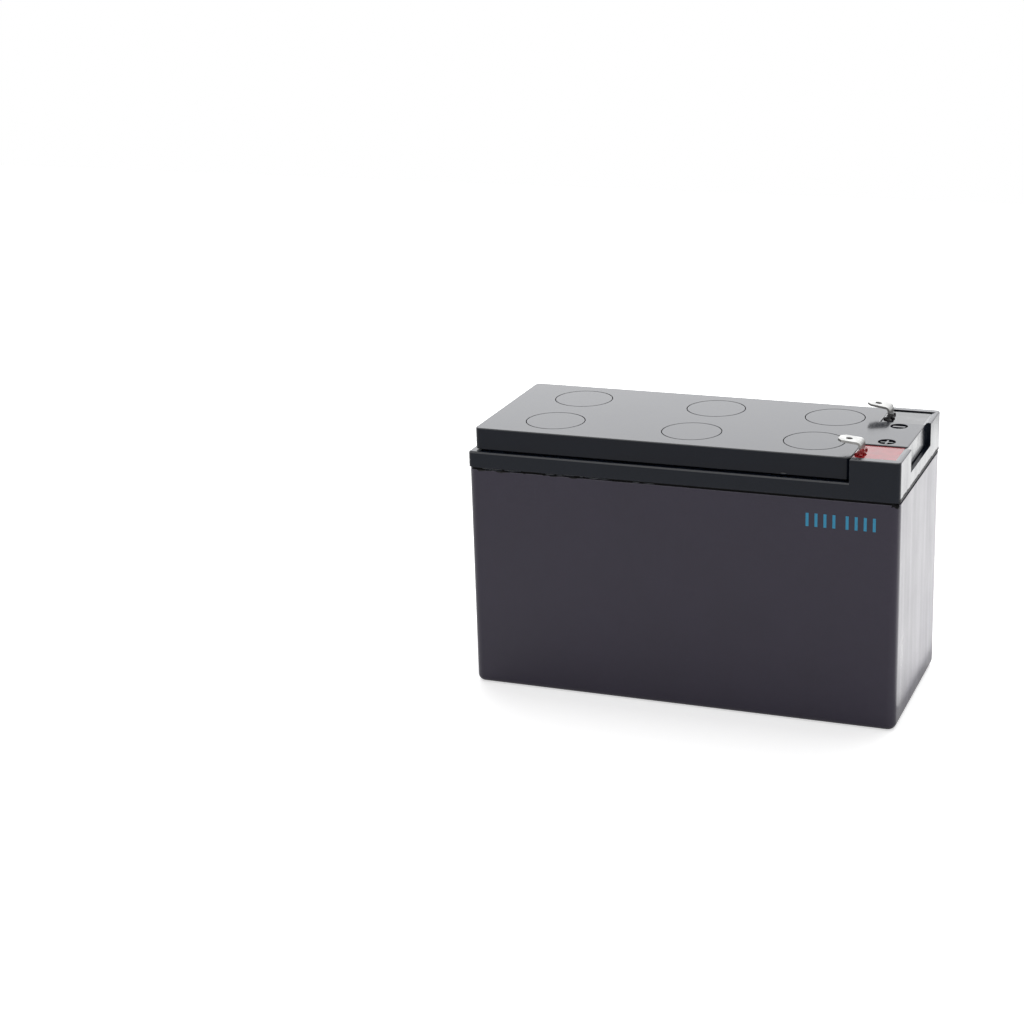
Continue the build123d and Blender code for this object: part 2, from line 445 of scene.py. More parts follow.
class Nodes:
    """Lays out the nodes of a shader tree and joins them."""

    def __init__(self, tree):
        self.tree = tree

    def add(self, kind, inputs=None, **settings):
        """A node with its settings, its inputs set to a value or joined to a socket."""
        node = self.tree.nodes.new(kind)
        for name, value in settings.items():
            setattr(node, name, value)
        for name, value in (inputs or {}).items():
            self.feed(node.inputs[name], value)
        return node

    def feed(self, socket, value):
        """Joins a socket to another, or gives it a value."""
        if isinstance(value, bpy.types.NodeSocket):
            self.tree.links.new(value, socket)
        else:
            socket.default_value = value

    def math(self, operation, first, second=0.0, clamp=False):
        """The result of one sum on two numbers."""
        node = self.add("ShaderNodeMath", {0: first, 1: second}, operation=operation, use_clamp=clamp)
        return node.outputs[0]

    def remap(self, value, low, high, new_low=0.0, new_high=1.0):
        """A number moved from one range to another, held at its ends."""
        inputs = {"Value": value, "From Min": low, "From Max": high}
        inputs.update({"To Min": new_low, "To Max": new_high})
        return self.add("ShaderNodeMapRange", inputs).outputs["Result"]

    def blend(self, amount, first, second):
        """One colour laid over another."""
        node = self.add("ShaderNodeMix", data_type="RGBA")
        colours = [s for s in node.inputs if s.type == "RGBA"]
        self.feed(node.inputs["Factor"], amount)
        self.feed(colours[0], first)
        self.feed(colours[1], second)
        return next(s for s in node.outputs if s.type == "RGBA")

    def place(self, stretch=(1.0, 1.0, 1.0)):
        """A point's place on the object, in metres, stretched along the axes."""
        coordinates = self.add("ShaderNodeTexCoord").outputs["Object"]
        if stretch == (1.0, 1.0, 1.0):
            return coordinates
        return self.add("ShaderNodeMapping", {"Vector": coordinates, "Scale": stretch}).outputs["Vector"]

    def noise(self, scale, detail=3.0, roughness=0.55, vector=None):
        """A soft noise from 0 to 1."""
        inputs = {"Scale": scale, "Detail": detail, "Roughness": roughness}
        inputs["Vector"] = self.place() if vector is None else vector
        return self.add("ShaderNodeTexNoise", inputs).outputs["Fac"]

    def pits(self, scale):
        """The distance to the nearest of many scattered points."""
        inputs = {"Vector": self.place(), "Scale": scale}
        return self.add("ShaderNodeTexVoronoi", inputs).outputs["Distance"]

    def axes(self, vector):
        """The three parts of a vector, by name."""
        return self.add("ShaderNodeSeparateXYZ", {"Vector": vector}).outputs

    def normal(self):
        """The way a point of the surface faces."""
        return self.add("ShaderNodeNewGeometry").outputs["Normal"]


def solid(colour):
    """A colour with full alpha."""
    return (*colour, 1.0)


def shade_of(colour, factor, lift=0.0):
    """A darker or lighter shade of a colour, lifted evenly, with full alpha."""
    return solid([lift + factor * part for part in colour])


def new_group(name, inputs, outputs):
    """An empty shader group with number inputs and outputs, and its in and out nodes."""
    tree = bpy.data.node_groups.new(name, "ShaderNodeTree")
    for label, default in inputs.items():
        socket = tree.interface.new_socket(label, in_out="INPUT", socket_type="NodeSocketFloat")
        socket.default_value = default
    for label in outputs:
        tree.interface.new_socket(label, in_out="OUTPUT", socket_type="NodeSocketFloat")
    nodes = Nodes(tree)
    entry = nodes.add("NodeGroupInput").outputs
    leave = nodes.add("NodeGroupOutput").inputs
    return nodes, entry, leave


def make_moulded_grain():
    """Fine grain of a moulding tool, a slow cloudiness, where walls are, and the rounded upper edges that
    get a painted highlight.
    """
    inputs = {"Scale": 1900.0, "Cloud Scale": 45.0}
    nodes, entry, leave = new_group("Moulded Grain", inputs, ["Height", "Cloud", "Walls", "Edges"])
    fine = nodes.noise(entry["Scale"], detail=4.0, roughness=0.65)
    height = nodes.math("MULTIPLY_ADD", nodes.pits(entry["Scale"]), 0.45)
    nodes.feed(height.node.inputs[2], fine)
    nodes.feed(leave["Height"], height)
    cloud = nodes.noise(entry["Cloud Scale"], detail=5.0)
    nodes.feed(leave["Cloud"], nodes.remap(cloud, 0.15, 0.85))
    up = nodes.axes(nodes.normal())["Z"]
    nodes.feed(leave["Walls"], nodes.remap(nodes.math("ABSOLUTE", up), 0.7, 0.3))
    # Rounded upper edges, between facing up and facing out, where a painted highlight goes
    edges = nodes.math("MULTIPLY", nodes.remap(up, 0.15, 0.35), nodes.remap(up, 0.95, 0.8))
    nodes.feed(leave["Edges"], edges)


def make_edge_wear():
    """Where handling has rubbed the rounded edges."""
    inputs = {"Radius": 0.6 * MILLIMETRE, "Break Scale": 700.0}
    nodes, entry, leave = new_group("Edge Wear", inputs, ["Mask"])
    rounded = nodes.add("ShaderNodeBevel", {"Radius": entry["Radius"]}, samples=6).outputs["Normal"]
    facing = nodes.add("ShaderNodeVectorMath", {0: rounded, 1: nodes.normal()}, operation="DOT_PRODUCT")
    edge = nodes.remap(facing.outputs["Value"], 0.995, 0.9)
    patches = nodes.remap(nodes.noise(entry["Break Scale"], detail=5.0), 0.45, 0.7)
    nodes.feed(leave["Mask"], nodes.math("MULTIPLY", edge, patches))


def make_scuffs():
    """Short fine rub marks along the height or the length, and broad upright streaks on the ends."""
    inputs = {"Scale": 60.0, "Cover": 0.5, "Streak Scale": 260.0}
    nodes, entry, leave = new_group("Scuffs", inputs, ["Mask", "Streaks"])
    upright = nodes.noise(entry["Scale"], detail=6.0, vector=nodes.place((28.0, 28.0, 1.4)))
    along = nodes.noise(entry["Scale"], detail=6.0, vector=nodes.place((1.2, 30.0, 30.0)))
    marks = nodes.math("MAXIMUM", nodes.remap(upright, 0.62, 0.78), nodes.remap(along, 0.68, 0.82))
    areas = nodes.remap(nodes.noise(35.0, detail=2.0), 0.42, 0.68)
    rubbed = nodes.math("MULTIPLY", marks, areas)
    nodes.feed(leave["Mask"], nodes.math("MULTIPLY", rubbed, entry["Cover"]))
    streaks = nodes.noise(entry["Streak Scale"], detail=4.0, vector=nodes.place((1.0, 1.0, 0.06)))
    ends = nodes.remap(nodes.math("ABSOLUTE", nodes.axes(nodes.normal())["X"]), 0.6, 0.95)
    nodes.feed(leave["Streaks"], nodes.math("MULTIPLY", nodes.remap(streaks, 0.3, 0.7, -1.0, 1.0), ends))


def make_dust():
    """Pale dust that has settled on what faces up."""
    nodes, entry, leave = new_group("Settled Dust", {"Scale": 1500.0, "Cover": 0.5}, ["Mask"])
    up = nodes.axes(nodes.normal())["Z"]
    film = nodes.remap(nodes.noise(90.0, detail=6.0), 0.35, 0.8)
    grains = nodes.math("MULTIPLY", nodes.remap(nodes.pits(entry["Scale"]), 0.16, 0.05), film)
    settled = nodes.math("MULTIPLY", grains, nodes.remap(up, 0.7, 0.95))
    nodes.feed(leave["Mask"], nodes.math("MULTIPLY", settled, entry["Cover"]))


def make_groups():
    """Makes the effects that several finishes share."""
    make_moulded_grain()
    make_edge_wear()
    make_scuffs()
    make_dust()


def group(nodes, name, **values):
    """A shared effect placed in a material with its own values."""
    node = nodes.add("ShaderNodeGroup", node_tree=bpy.data.node_groups[name])
    for label, value in values.items():
        node.inputs[label.replace("_", " ").title()].default_value = value
    return node.outputs


def finish_of(slot):
    """The finish that was made for a slot of the record, or for the floor."""
    return bpy.data.materials[slot + "_finish"]


def new_finish(slot, **constants):
    """Makes an empty finish: its nodes, and its Principled shader with that shader's constants."""
    material = bpy.data.materials.new(slot + "_finish")
    material.use_nodes = True
    shader = material.node_tree.nodes["Principled BSDF"]
    for label, value in constants.items():
        shader.inputs[label.replace("_", " ").title().replace("Ior", "IOR")].default_value = value
    return Nodes(material.node_tree), shader


def give_bump(nodes, shader, height, strength, distance):
    """Feeds a height to the shader's normal."""
    inputs = {"Height": height, "Strength": strength, "Distance": distance}
    nodes.feed(shader.inputs["Normal"], nodes.add("ShaderNodeBump", inputs).outputs["Normal"])


def plastic_finish(slot, colour, roughness, wall_roughness, specular, grain_depth, overlays=()):
    """A moulded plastic: cloudy colour, fine grain, rubbed edges, scuffs, dust, a painted highlight on
    rounded upper edges, and what lies over them.
    """
    nodes, shader = new_finish(slot, specular_ior_level=specular)
    grain = group(nodes, "Moulded Grain")
    wear = group(nodes, "Edge Wear")["Mask"]
    rubs = group(nodes, "Scuffs")
    dust = group(nodes, "Settled Dust")["Mask"]
    rubbed = shade_of(colour, 1.6, lift=0.05)
    # A paler colour painted on the rounded upper edges as a highlight
    painted_highlight = shade_of(colour, 1.0, lift=0.1)
    tone = nodes.blend(grain["Cloud"], shade_of(colour, 0.9), shade_of(colour, 1.12))
    # Wear, scuffs and dust, then the painted highlight on the rounded upper edges
    for mask, tint, over in (
        (wear, WEAR_TINT, rubbed),
        (rubs["Mask"], SCUFF_TINT, rubbed),
        (dust, DUST_TINT, solid(DUST_COLOUR)),
        (grain["Edges"], EDGE_HIGHLIGHT_TINT, painted_highlight),
    ):
        tone = nodes.blend(nodes.math("MULTIPLY", mask, tint), tone, over)
    rough = nodes.remap(grain["Walls"], 0.0, 1.0, roughness, wall_roughness)
    rough = nodes.math("ADD", rough, nodes.remap(grain["Cloud"], 0.0, 1.0, -0.03, 0.04))
    for mask, dull in ((rubs["Mask"], SCUFF_DULL), (rubs["Streaks"], STREAK_DULL), (dust, DUST_DULL)):
        rough = nodes.math("ADD", rough, nodes.math("MULTIPLY", mask, dull))
    for mask, over, dull in overlays:
        cover = mask(nodes)
        tone = nodes.blend(cover, tone, solid(over))
        rough = nodes.math("ADD", rough, nodes.math("MULTIPLY", cover, dull))
    nodes.feed(shader.inputs["Base Color"], tone)
    nodes.feed(shader.inputs["Roughness"], rough)
    give_bump(nodes, shader, grain["Height"], strength=0.35, distance=grain_depth)


def resin_finish(slot, colour, depth_share, roughness, specular):
    """Poured resin: glossy, with slow ripples and a darker tone where it is deep."""
    nodes, shader = new_finish(slot, specular_ior_level=specular)
    ripple = nodes.noise(120.0, detail=1.0)
    cloud = nodes.remap(nodes.noise(300.0, detail=3.0), 0.3, 0.7)
    tone = nodes.blend(cloud, shade_of(colour, depth_share), solid(colour))
    nodes.feed(shader.inputs["Base Color"], tone)
    rough = nodes.remap(cloud, 0.0, 1.0, roughness - 0.03, roughness + 0.04)
    nodes.feed(shader.inputs["Roughness"], rough)
    give_bump(nodes, shader, ripple, strength=0.25, distance=0.4 * MILLIMETRE)


def tin_finish(slot, colour):
    """Tinned strip: bright, drawn along its length, with dull patches and rubbed edges."""
    nodes, shader = new_finish(slot, metallic=1.0)
    drawn = nodes.noise(300.0, detail=5.0, vector=nodes.place((1.0, 9.0, 1.0)))
    dull = nodes.remap(nodes.noise(380.0, detail=4.0), 0.35, 0.7)
    wear = group(nodes, "Edge Wear", radius=0.4 * MILLIMETRE)["Mask"]
    tone = nodes.blend(dull, solid(colour), shade_of(colour, 0.72))
    tone = nodes.blend(nodes.math("MULTIPLY", wear, 0.5), tone, shade_of(colour, 1.1))
    nodes.feed(shader.inputs["Base Color"], tone)
    nodes.feed(shader.inputs["Roughness"], nodes.remap(drawn, 0.3, 0.7, 0.34, 0.5))
    give_bump(nodes, shader, drawn, strength=0.25, distance=0.1 * MILLIMETRE)


def lead_finish(slot, colour):
    """Cast lead: soft grey metal with a dull skin and casting pits."""
    nodes, shader = new_finish(slot, metallic=0.85)
    skin = nodes.remap(nodes.noise(300.0, detail=6.0), 0.3, 0.7)
    nodes.feed(shader.inputs["Base Color"], nodes.blend(skin, shade_of(colour, 0.6), solid(colour)))
    nodes.feed(shader.inputs["Roughness"], nodes.remap(skin, 0.0, 1.0, 0.42, 0.62))
    give_bump(nodes, shader, nodes.pits(900.0), strength=0.4, distance=0.3 * MILLIMETRE)


def paste_finish(slot, colour):
    """Dried plate paste: matt and granular, with the squares of the grid showing through."""
    nodes, shader = new_finish(slot, specular_ior_level=0.25)
    grains = nodes.noise(2400.0, detail=5.0, roughness=0.7)
    cloud = nodes.remap(nodes.noise(150.0, detail=4.0), 0.3, 0.7)
    position = nodes.axes(nodes.place())
    rows = nodes.math("PINGPONG", position["Z"], 2.4 * MILLIMETRE)
    columns = nodes.math("PINGPONG", position["X"], 3.2 * MILLIMETRE)
    nearest = nodes.math("MINIMUM", rows, columns)
    wires = nodes.remap(nearest, 0.2 * MILLIMETRE, 0.6 * MILLIMETRE, 1.0, 0.0)
    tone = nodes.blend(cloud, shade_of(colour, 0.7), solid(colour))
    tone = nodes.blend(nodes.math("MULTIPLY", wires, 0.35), tone, shade_of(colour, 0.5, lift=0.08))
    nodes.feed(shader.inputs["Base Color"], tone)
    nodes.feed(shader.inputs["Roughness"], nodes.remap(grains, 0.3, 0.7, 0.75, 0.95))
    give_bump(nodes, shader, nodes.math("ADD", grains, wires), strength=0.5, distance=0.2 * MILLIMETRE)


def mat_finish(slot, colour):
    """Pressed glass fibre: white, matt and fibrous."""
    nodes, shader = new_finish(slot, specular_ior_level=0.2, sheen_weight=0.2)
    fibres = nodes.noise(900.0, detail=7.0, roughness=0.7, vector=nodes.place((0.35, 1.0, 1.0)))
    strands = nodes.remap(fibres, 0.35, 0.65)
    nodes.feed(shader.inputs["Base Color"], nodes.blend(strands, shade_of(colour, 0.82), solid(colour)))
    nodes.feed(shader.inputs["Roughness"], nodes.remap(strands, 0.0, 1.0, 0.8, 0.95))
    give_bump(nodes, shader, fibres, strength=0.6, distance=0.3 * MILLIMETRE)


def rubber_finish(slot, colour):
    """Moulded rubber: matt black with a bloom."""
    nodes, shader = new_finish(slot, specular_ior_level=0.35)
    grain = group(nodes, "Moulded Grain", scale=1800.0, cloud_scale=200.0)
    bloom = shade_of(colour, 1.3, lift=0.03)
    nodes.feed(shader.inputs["Base Color"], nodes.blend(grain["Cloud"], solid(colour), bloom))
    nodes.feed(shader.inputs["Roughness"], nodes.remap(grain["Cloud"], 0.0, 1.0, 0.6, 0.75))
    give_bump(nodes, shader, grain["Height"], strength=0.3, distance=0.1 * MILLIMETRE)


def front_bars(nodes):
    """Two groups of four plain upright bars printed on the front, near its right end."""
    left = CONTAINER_HIGH.x - 31.1 * MILLIMETRE
    low = CONTAINER_HIGH.z - 9.6 * MILLIMETRE
    high = low + 4.6 * MILLIMETRE
    bars_in_group = 4
    pitch = 3.0 * MILLIMETRE
    bar = 1.0 * MILLIMETRE
    group_gap = 3.4 * MILLIMETRE
    group_length = (bars_in_group - 1) * pitch + bar
    second_group = left + group_length + group_gap
    soft = 0.05 * MILLIMETRE
    skin = 0.1 * MILLIMETRE
    position = nodes.axes(nodes.place())

    def between(value, first, last):
        rising = nodes.remap(value, first - soft, first + soft)
        falling = nodes.remap(value, last - soft, last + soft, 1.0, 0.0)
        return nodes.math("MULTIPLY", rising, falling)

    def bars(start):
        along = nodes.math("SUBTRACT", position["X"], start)
        step = nodes.math("FLOORED_MODULO", along, pitch)
        inside = between(along, -soft, group_length + soft)
        return nodes.math("MULTIPLY", between(step, 0.0, bar), inside)

    both = nodes.math("ADD", bars(left), bars(second_group), clamp=True)
    tall = nodes.math("MULTIPLY", both, between(position["Z"], low, high))
    front = nodes.math("LESS_THAN", position["Y"], CONTAINER_LOW.y + skin)
    worn = nodes.remap(nodes.noise(1600.0, detail=4.0), 0.28, 0.42, 0.55, 0.95)
    return nodes.math("MULTIPLY", nodes.math("MULTIPLY", tall, front), worn)


def joint_smears(nodes):
    """Where resin has run out of the joint onto the container, most of it at the left."""
    held_back = -0.2 * MILLIMETRE
    longest_run = 0.8 * MILLIMETRE
    soft = 0.1 * MILLIMETRE
    position = nodes.axes(nodes.place())
    depth = nodes.math("SUBTRACT", CONTAINER_HIGH.z, position["Z"])
    runs = nodes.noise(330.0, detail=3.0, vector=nodes.place((0.6, 0.6, 0.1)))
    share = nodes.remap(position["X"], CONTAINER_LOW.x, 0.0, 1.0, 0.2)
    reach = nodes.math("MULTIPLY", nodes.remap(runs, 0.45, 0.7, held_back, longest_run), share)
    return nodes.remap(nodes.math("SUBTRACT", reach, depth), 0.0, soft)


def end_smears(nodes):
    """The dull strip of wiped resin along the lower edge of the lid's two ends."""
    narrow = 1.0 * MILLIMETRE
    wide = 1.6 * MILLIMETRE
    soft = 0.2 * MILLIMETRE
    skin = 0.3 * MILLIMETRE
    position = nodes.axes(nodes.place())
    rise = nodes.math("SUBTRACT", position["Z"], LID_LOW.z)
    width = nodes.remap(nodes.noise(500.0, detail=3.0), 0.3, 0.7, narrow, wide)
    strip = nodes.remap(nodes.math("SUBTRACT", width, rise), 0.0, soft)
    end = nodes.math("GREATER_THAN", nodes.math("ABSOLUTE", position["X"]), LID_HIGH.x - skin)
    return nodes.math("MULTIPLY", strip, end)


def make_finishes(finishes):
    """Makes every finish of the battery, named for the record's slot."""
    plastic_finish(
        "case_plastic",
        finishes.case_plastic,
        roughness=0.3,
        wall_roughness=0.3,
        specular=0.35,
        grain_depth=0.06 * MILLIMETRE,
        overlays=(
            (front_bars, finishes.ink, INK_DULL),
            (joint_smears, finishes.joint_resin, SMEAR_DULL),
        ),
    )
    plastic_finish(
        "lid_plastic",
        finishes.lid_plastic,
        roughness=0.16,
        wall_roughness=0.22,
        specular=0.22,
        grain_depth=0.03 * MILLIMETRE,
        overlays=((end_smears, finishes.joint_resin, WIPED_DULL),),
    )
    plastic_finish(
        "cover_plastic",
        finishes.cover_plastic,
        roughness=0.13,
        wall_roughness=0.2,
        specular=0.2,
        grain_depth=0.01 * MILLIMETRE,
    )
    resin_finish("joint_resin", finishes.joint_resin, depth_share=0.5, roughness=0.5, specular=0.1)
    resin_finish("red_resin", finishes.red_resin, depth_share=0.7, roughness=0.14, specular=0.23)
    resin_finish("black_resin", finishes.black_resin, depth_share=0.5, roughness=0.14, specular=0.28)
    tin_finish("tinned_metal", finishes.tin)
    lead_finish("lead", finishes.lead)
    paste_finish("positive_paste", finishes.positive_paste)
    paste_finish("negative_paste", finishes.negative_paste)
    mat_finish("glass_mat", finishes.glass_mat)
    rubber_finish("valve_rubber", finishes.valve_rubber)


def dress(node, slot):
    """Gives a solid that isn't replaced the finish of its slot."""
    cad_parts[node].material_slots[0].material = finish_of(slot)


def new_piece(name, mesh, slot):
    """An object of that mesh, in its slot's finish, that moves with the battery."""
    data = bpy.data.meshes.new(name)
    mesh.to_mesh(data)
    mesh.free()
    piece = bpy.data.objects.new(name, data)
    bpy.context.scene.collection.objects.link(piece)
    data.materials.append(finish_of(slot))
    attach(piece, BODY)
    return piece


def shade_smooth(piece):
    """Lets the faces of a piece flow into each other."""
    for polygon in piece.data.polygons:
        polygon.use_smooth = True


def round_edges(piece, radius, sizes):
    """Rounds the sharp edges of a piece, and keeps its flat faces flat to the eye."""
    bevel = piece.modifiers.new("Rounded edges", "BEVEL")
    bevel.width = radius
    bevel.segments = sizes.edge_segments
    bevel.limit_method = "ANGLE"
    bevel.angle_limit = sizes.crease_angle
    bevel.miter_outer = "MITER_ARC"
    weighted = piece.modifiers.new("Flat faces", "WEIGHTED_NORMAL")
    weighted.keep_sharp = True
    shade_smooth(piece)
    bpy.context.view_layer.update()
    evaluated = piece.evaluated_get(bpy.context.evaluated_depsgraph_get())
    plain = piece.data
    piece.data = bpy.data.meshes.new_from_object(evaluated)
    piece.data.name = piece.name
    piece.modifiers.clear()
    bpy.data.meshes.remove(plain)


def refine(node, name, slot, radius, sizes):
    """Puts a finer piece in place of a solid: the same form with rounded edges."""
    mesh = bmesh.new()
    mesh.from_mesh(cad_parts[node].data)
    bmesh.ops.remove_doubles(mesh, verts=mesh.verts, dist=WELD_DISTANCE)
    bmesh.ops.dissolve_limit(mesh, angle_limit=FLAT_ANGLE, verts=mesh.verts, edges=mesh.edges)
    piece = new_piece(name, mesh, slot)
    round_edges(piece, radius, sizes)
    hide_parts(node)


def bar_outline(span, bar):
    """The corners of one straight bar about the origin."""
    x, y = span / 2, bar / 2
    return [(-x, -y), (x, -y), (x, y), (-x, y)]


def cross_outline(span, bar):
    """The corners of a plus about the origin: three at each inner corner, a quarter turn on every time."""
    a, b = span / 2, bar / 2
    turn = [(-a, -b), (-b, -b), (-b, -a)]
    outline = []
    for _ in range(4):
        outline += turn
        turn = [(-y, x) for x, y in turn]
    return outline


def raised_sign(outline, place, height):
    """A flat sign that stands on the floor of its recess."""
    mesh = bmesh.new()
    corners = [mesh.verts.new((x + place.x, y + place.y, place.z)) for x, y in outline]
    face = mesh.faces.new(corners)
    grown = bmesh.ops.extrude_face_region(mesh, geom=[face])
    raised = [g for g in grown["geom"] if isinstance(g, bmesh.types.BMVert)]
    bmesh.ops.translate(mesh, vec=(0.0, 0.0, height), verts=raised)
    bmesh.ops.recalc_face_normals(mesh, faces=mesh.faces)
    return mesh


def add_bead(mesh, place, half_length, radius, rings=7, corners=8):
    """Adds a bead drawn out along X, pointed at both ends."""
    loops = []
    for ring in range(rings):
        along = -math.cos(math.pi * (ring + 0.5) / rings)
        thick = radius * math.sqrt(1.0 - along * along)
        loop = []
        for corner in range(corners):
            turn = 2 * math.pi * corner / corners
            offset = Vector((along * half_length, thick * math.cos(turn), thick * math.sin(turn)))
            loop.append(mesh.verts.new(place + offset))
        loops.append(loop)
    for first, second in zip(loops, loops[1:]):
        for corner in range(corners):
            following = (corner + 1) % corners
            mesh.faces.new((first[corner], first[following], second[following], second[corner]))
    mesh.faces.new(loops[0])
    mesh.faces.new(loops[-1])


def joint_beads(sizes):
    """Beads of flash that nearly close the joint along both long sides, most of them at the left."""
    chance = random.Random(FLASH_SEED)
    mesh = bmesh.new()
    reach = SEALANT_HIGH.x - sizes.bead_length
    for y in (SEALANT_LOW.y, SEALANT_HIGH.y):
        for _ in range(sizes.bead_count):
            half_length = chance.uniform(*BEAD_HALF_LENGTHS) * sizes.bead_length
            radius = chance.uniform(*BEAD_RADII) * sizes.bead_radius
            x = chance.triangular(-reach, 0.0, -reach)
            z = chance.uniform(SEALANT_LOW.z, SEALANT_HIGH.z)
            add_bead(mesh, Vector((x, y, z)), half_length, radius)
    bmesh.ops.recalc_face_normals(mesh, faces=mesh.faces)
    return mesh


def add_drop(mesh, place, radius, chance):
    """Adds a lump of resin with an uneven skin."""
    made = bmesh.ops.create_icosphere(mesh, subdivisions=DROP_STEPS, radius=radius)
    start = Vector([chance.uniform(0.0, SWELL_START) for _ in range(3)])
    for vertex in made["verts"]:
        swell = noise.noise(vertex.co / radius * SWELL_SCALE + start)
        vertex.co = place + vertex.co * (1.0 + SWELL * swell)


def corner_lumps(sizes):
    """Lumps of resin squeezed out of the joint at the two right corners."""
    chance = random.Random(CORNER_SEED)
    mesh = bmesh.new()
    z = CONTAINER_HIGH.z - sizes.corner_lump / 3
    for side, inward in ((CONTAINER_LOW.y, sizes.corner_lump), (CONTAINER_HIGH.y, -sizes.corner_lump)):
        for along, across, share in CORNER_DROPS:
            x = CONTAINER_HIGH.x - along * sizes.corner_lump
            add_drop(mesh, Vector((x, side + across * inward, z)), share * sizes.corner_lump, chance)
    for vertex in mesh.verts:
        vertex.co.x = min(vertex.co.x, CONTAINER_HIGH.x)
        vertex.co.y = min(max(vertex.co.y, CONTAINER_LOW.y), CONTAINER_HIGH.y)
    bmesh.ops.recalc_face_normals(mesh, faces=mesh.faces)
    return mesh


def resin_drops(polarity, sizes):
    """The uneven lumps that the resin has left at the foot of a tab."""
    chance = random.Random(polarity)
    mesh = bmesh.new()
    tab_low, tab_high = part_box(f"{polarity}_tab")
    x = tab_low.x + sizes.blade_reach
    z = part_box(f"{polarity}_potting")[1].z
    radius = sizes.drop_radius
    for along, across, down, share in DROPS:
        y = tab_low.y + across * (tab_high.y - tab_low.y)
        add_drop(mesh, Vector((x + along * radius, y, z - down * radius)), share * radius, chance)
    bmesh.ops.recalc_face_normals(mesh, faces=mesh.faces)
    return mesh


def gate_pips(sizes):
    """The broken-off gates under the lower edge of the cover's long sides."""
    mesh = bmesh.new()
    x = CAD_HIGH.x - sizes.pip_setback
    z = COVER_LOW.z + sizes.pip_width / 8
    for y in (COVER_LOW.y, COVER_HIGH.y):
        add_bead(mesh, Vector((x, y, z)), sizes.pip_width / 2, sizes.pip_width / 4)
    bmesh.ops.recalc_face_normals(mesh, faces=mesh.faces)
    return mesh


class BATTERY_OT_finishes(bpy.types.Operator):
    """Makes the shared effects and the finish of every piece"""

    bl_idname = "battery.finishes"
    bl_label = "Finishes"

    def execute(self, context):
        make_groups()
        make_finishes(context.scene.battery_finishes)
        return {"FINISHED"}


class BATTERY_OT_shells(bpy.types.Operator):
    """Builds the container, the lid and the top cover with rounded edges"""

    bl_idname = "battery.shells"
    bl_label = "Container, lid and cover"

    def execute(self, context):
        sizes = context.scene.battery_sizes
        refine("container", "container_shell", "case_plastic", sizes.shell_edge, sizes)
        refine("lid", "lid_moulding", "lid_plastic", sizes.shell_edge, sizes)
        refine("top_cover", "cover_plate", "cover_plastic", sizes.disc_edge, sizes)
        return {"FINISHED"}


class BATTERY_OT_vents(bpy.types.Operator):
    """Builds the six vent discs, and finishes the valve caps under them"""

    bl_idname = "battery.vents"
    bl_label = "Vents"

    def execute(self, context):
        sizes = context.scene.battery_sizes
        for number in CELL_NUMBERS:
            refine(f"vent_disc_{number}", f"disc_{number}", "cover_plastic", sizes.disc_edge, sizes)
            dress(f"valve_cap_{number}", "valve_rubber")
        return {"FINISHED"}


class BATTERY_OT_terminals(bpy.types.Operator):
    """Builds the spade tabs and the resin round them, and finishes the posts"""

    bl_idname = "battery.terminals"
    bl_label = "Terminals"

    def execute(self, context):
        sizes = context.scene.battery_sizes
        resins = dict(zip(POLARITIES, ("red_resin", "black_resin")))
        for polarity in POLARITIES:
            refine(f"{polarity}_tab", f"{polarity}_blade", "tinned_metal", sizes.metal_edge, sizes)
            refine(f"{polarity}_potting", f"{polarity}_resin", resins[polarity], sizes.resin_edge, sizes)
            dress(f"{polarity}_post", "lead")
        return {"FINISHED"}


class BATTERY_OT_signs(bpy.types.Operator):
    """Builds the plus and the minus in their recesses"""

    bl_idname = "battery.signs"
    bl_label = "Signs"

    def execute(self, context):
        sizes = context.scene.battery_sizes
        height = sizes.sign_recess - sizes.sign_drop
        outlines = {
            "positive": cross_outline(sizes.sign_span, sizes.plus_bar),
            "negative": bar_outline(sizes.sign_span, sizes.minus_bar),
        }
        for side, polarity in zip((-1, 1), POLARITIES):
            x = LID_HIGH.x - sizes.sign_setback
            place = Vector((x, side * sizes.sign_spacing / 2, COVER_HIGH.z - sizes.sign_recess))
            mesh = raised_sign(outlines[polarity], place, height)
            sign = new_piece(f"{polarity}_sign", mesh, "cover_plastic")
            round_edges(sign, sizes.disc_edge, sizes)
        return {"FINISHED"}


class BATTERY_OT_moulding_marks(bpy.types.Operator):
    """Builds the flash in the joint, the lumps of resin at its corners and the tabs, and the gate pips"""

    bl_idname = "battery.moulding_marks"
    bl_label = "Flash, lumps and pips"

    def execute(self, context):
        sizes = context.scene.battery_sizes
        for name, mesh, slot in (
            ("joint_flash", joint_beads(sizes), "lid_plastic"),
            ("corner_lumps", corner_lumps(sizes), "joint_resin"),
            ("positive_lumps", resin_drops("positive", sizes), "red_resin"),
            ("negative_lumps", resin_drops("negative", sizes), "black_resin"),
            ("gate_pips", gate_pips(sizes), "cover_plastic"),
        ):
            shade_smooth(new_piece(name, mesh, slot))
        return {"FINISHED"}


class BATTERY_OT_inside(bpy.types.Operator):
    """Finishes the joint, the plates, the mats and the links inside"""

    bl_idname = "battery.inside"
    bl_label = "Inside pieces"

    def execute(self, context):
        slots = {"joint_sealant": "joint_resin"}
        for number in CELL_NUMBERS:
            slots[f"cell_{number}_positive_plates"] = "positive_paste"
            slots[f"cell_{number}_negative_plates"] = "negative_paste"
            slots[f"cell_{number}_separators"] = "glass_mat"
        for number in LINK_NUMBERS:
            slots[f"intercell_link_{number}"] = "lead"
        for node, slot in slots.items():
            dress(node, slot)
        return {"FINISHED"}


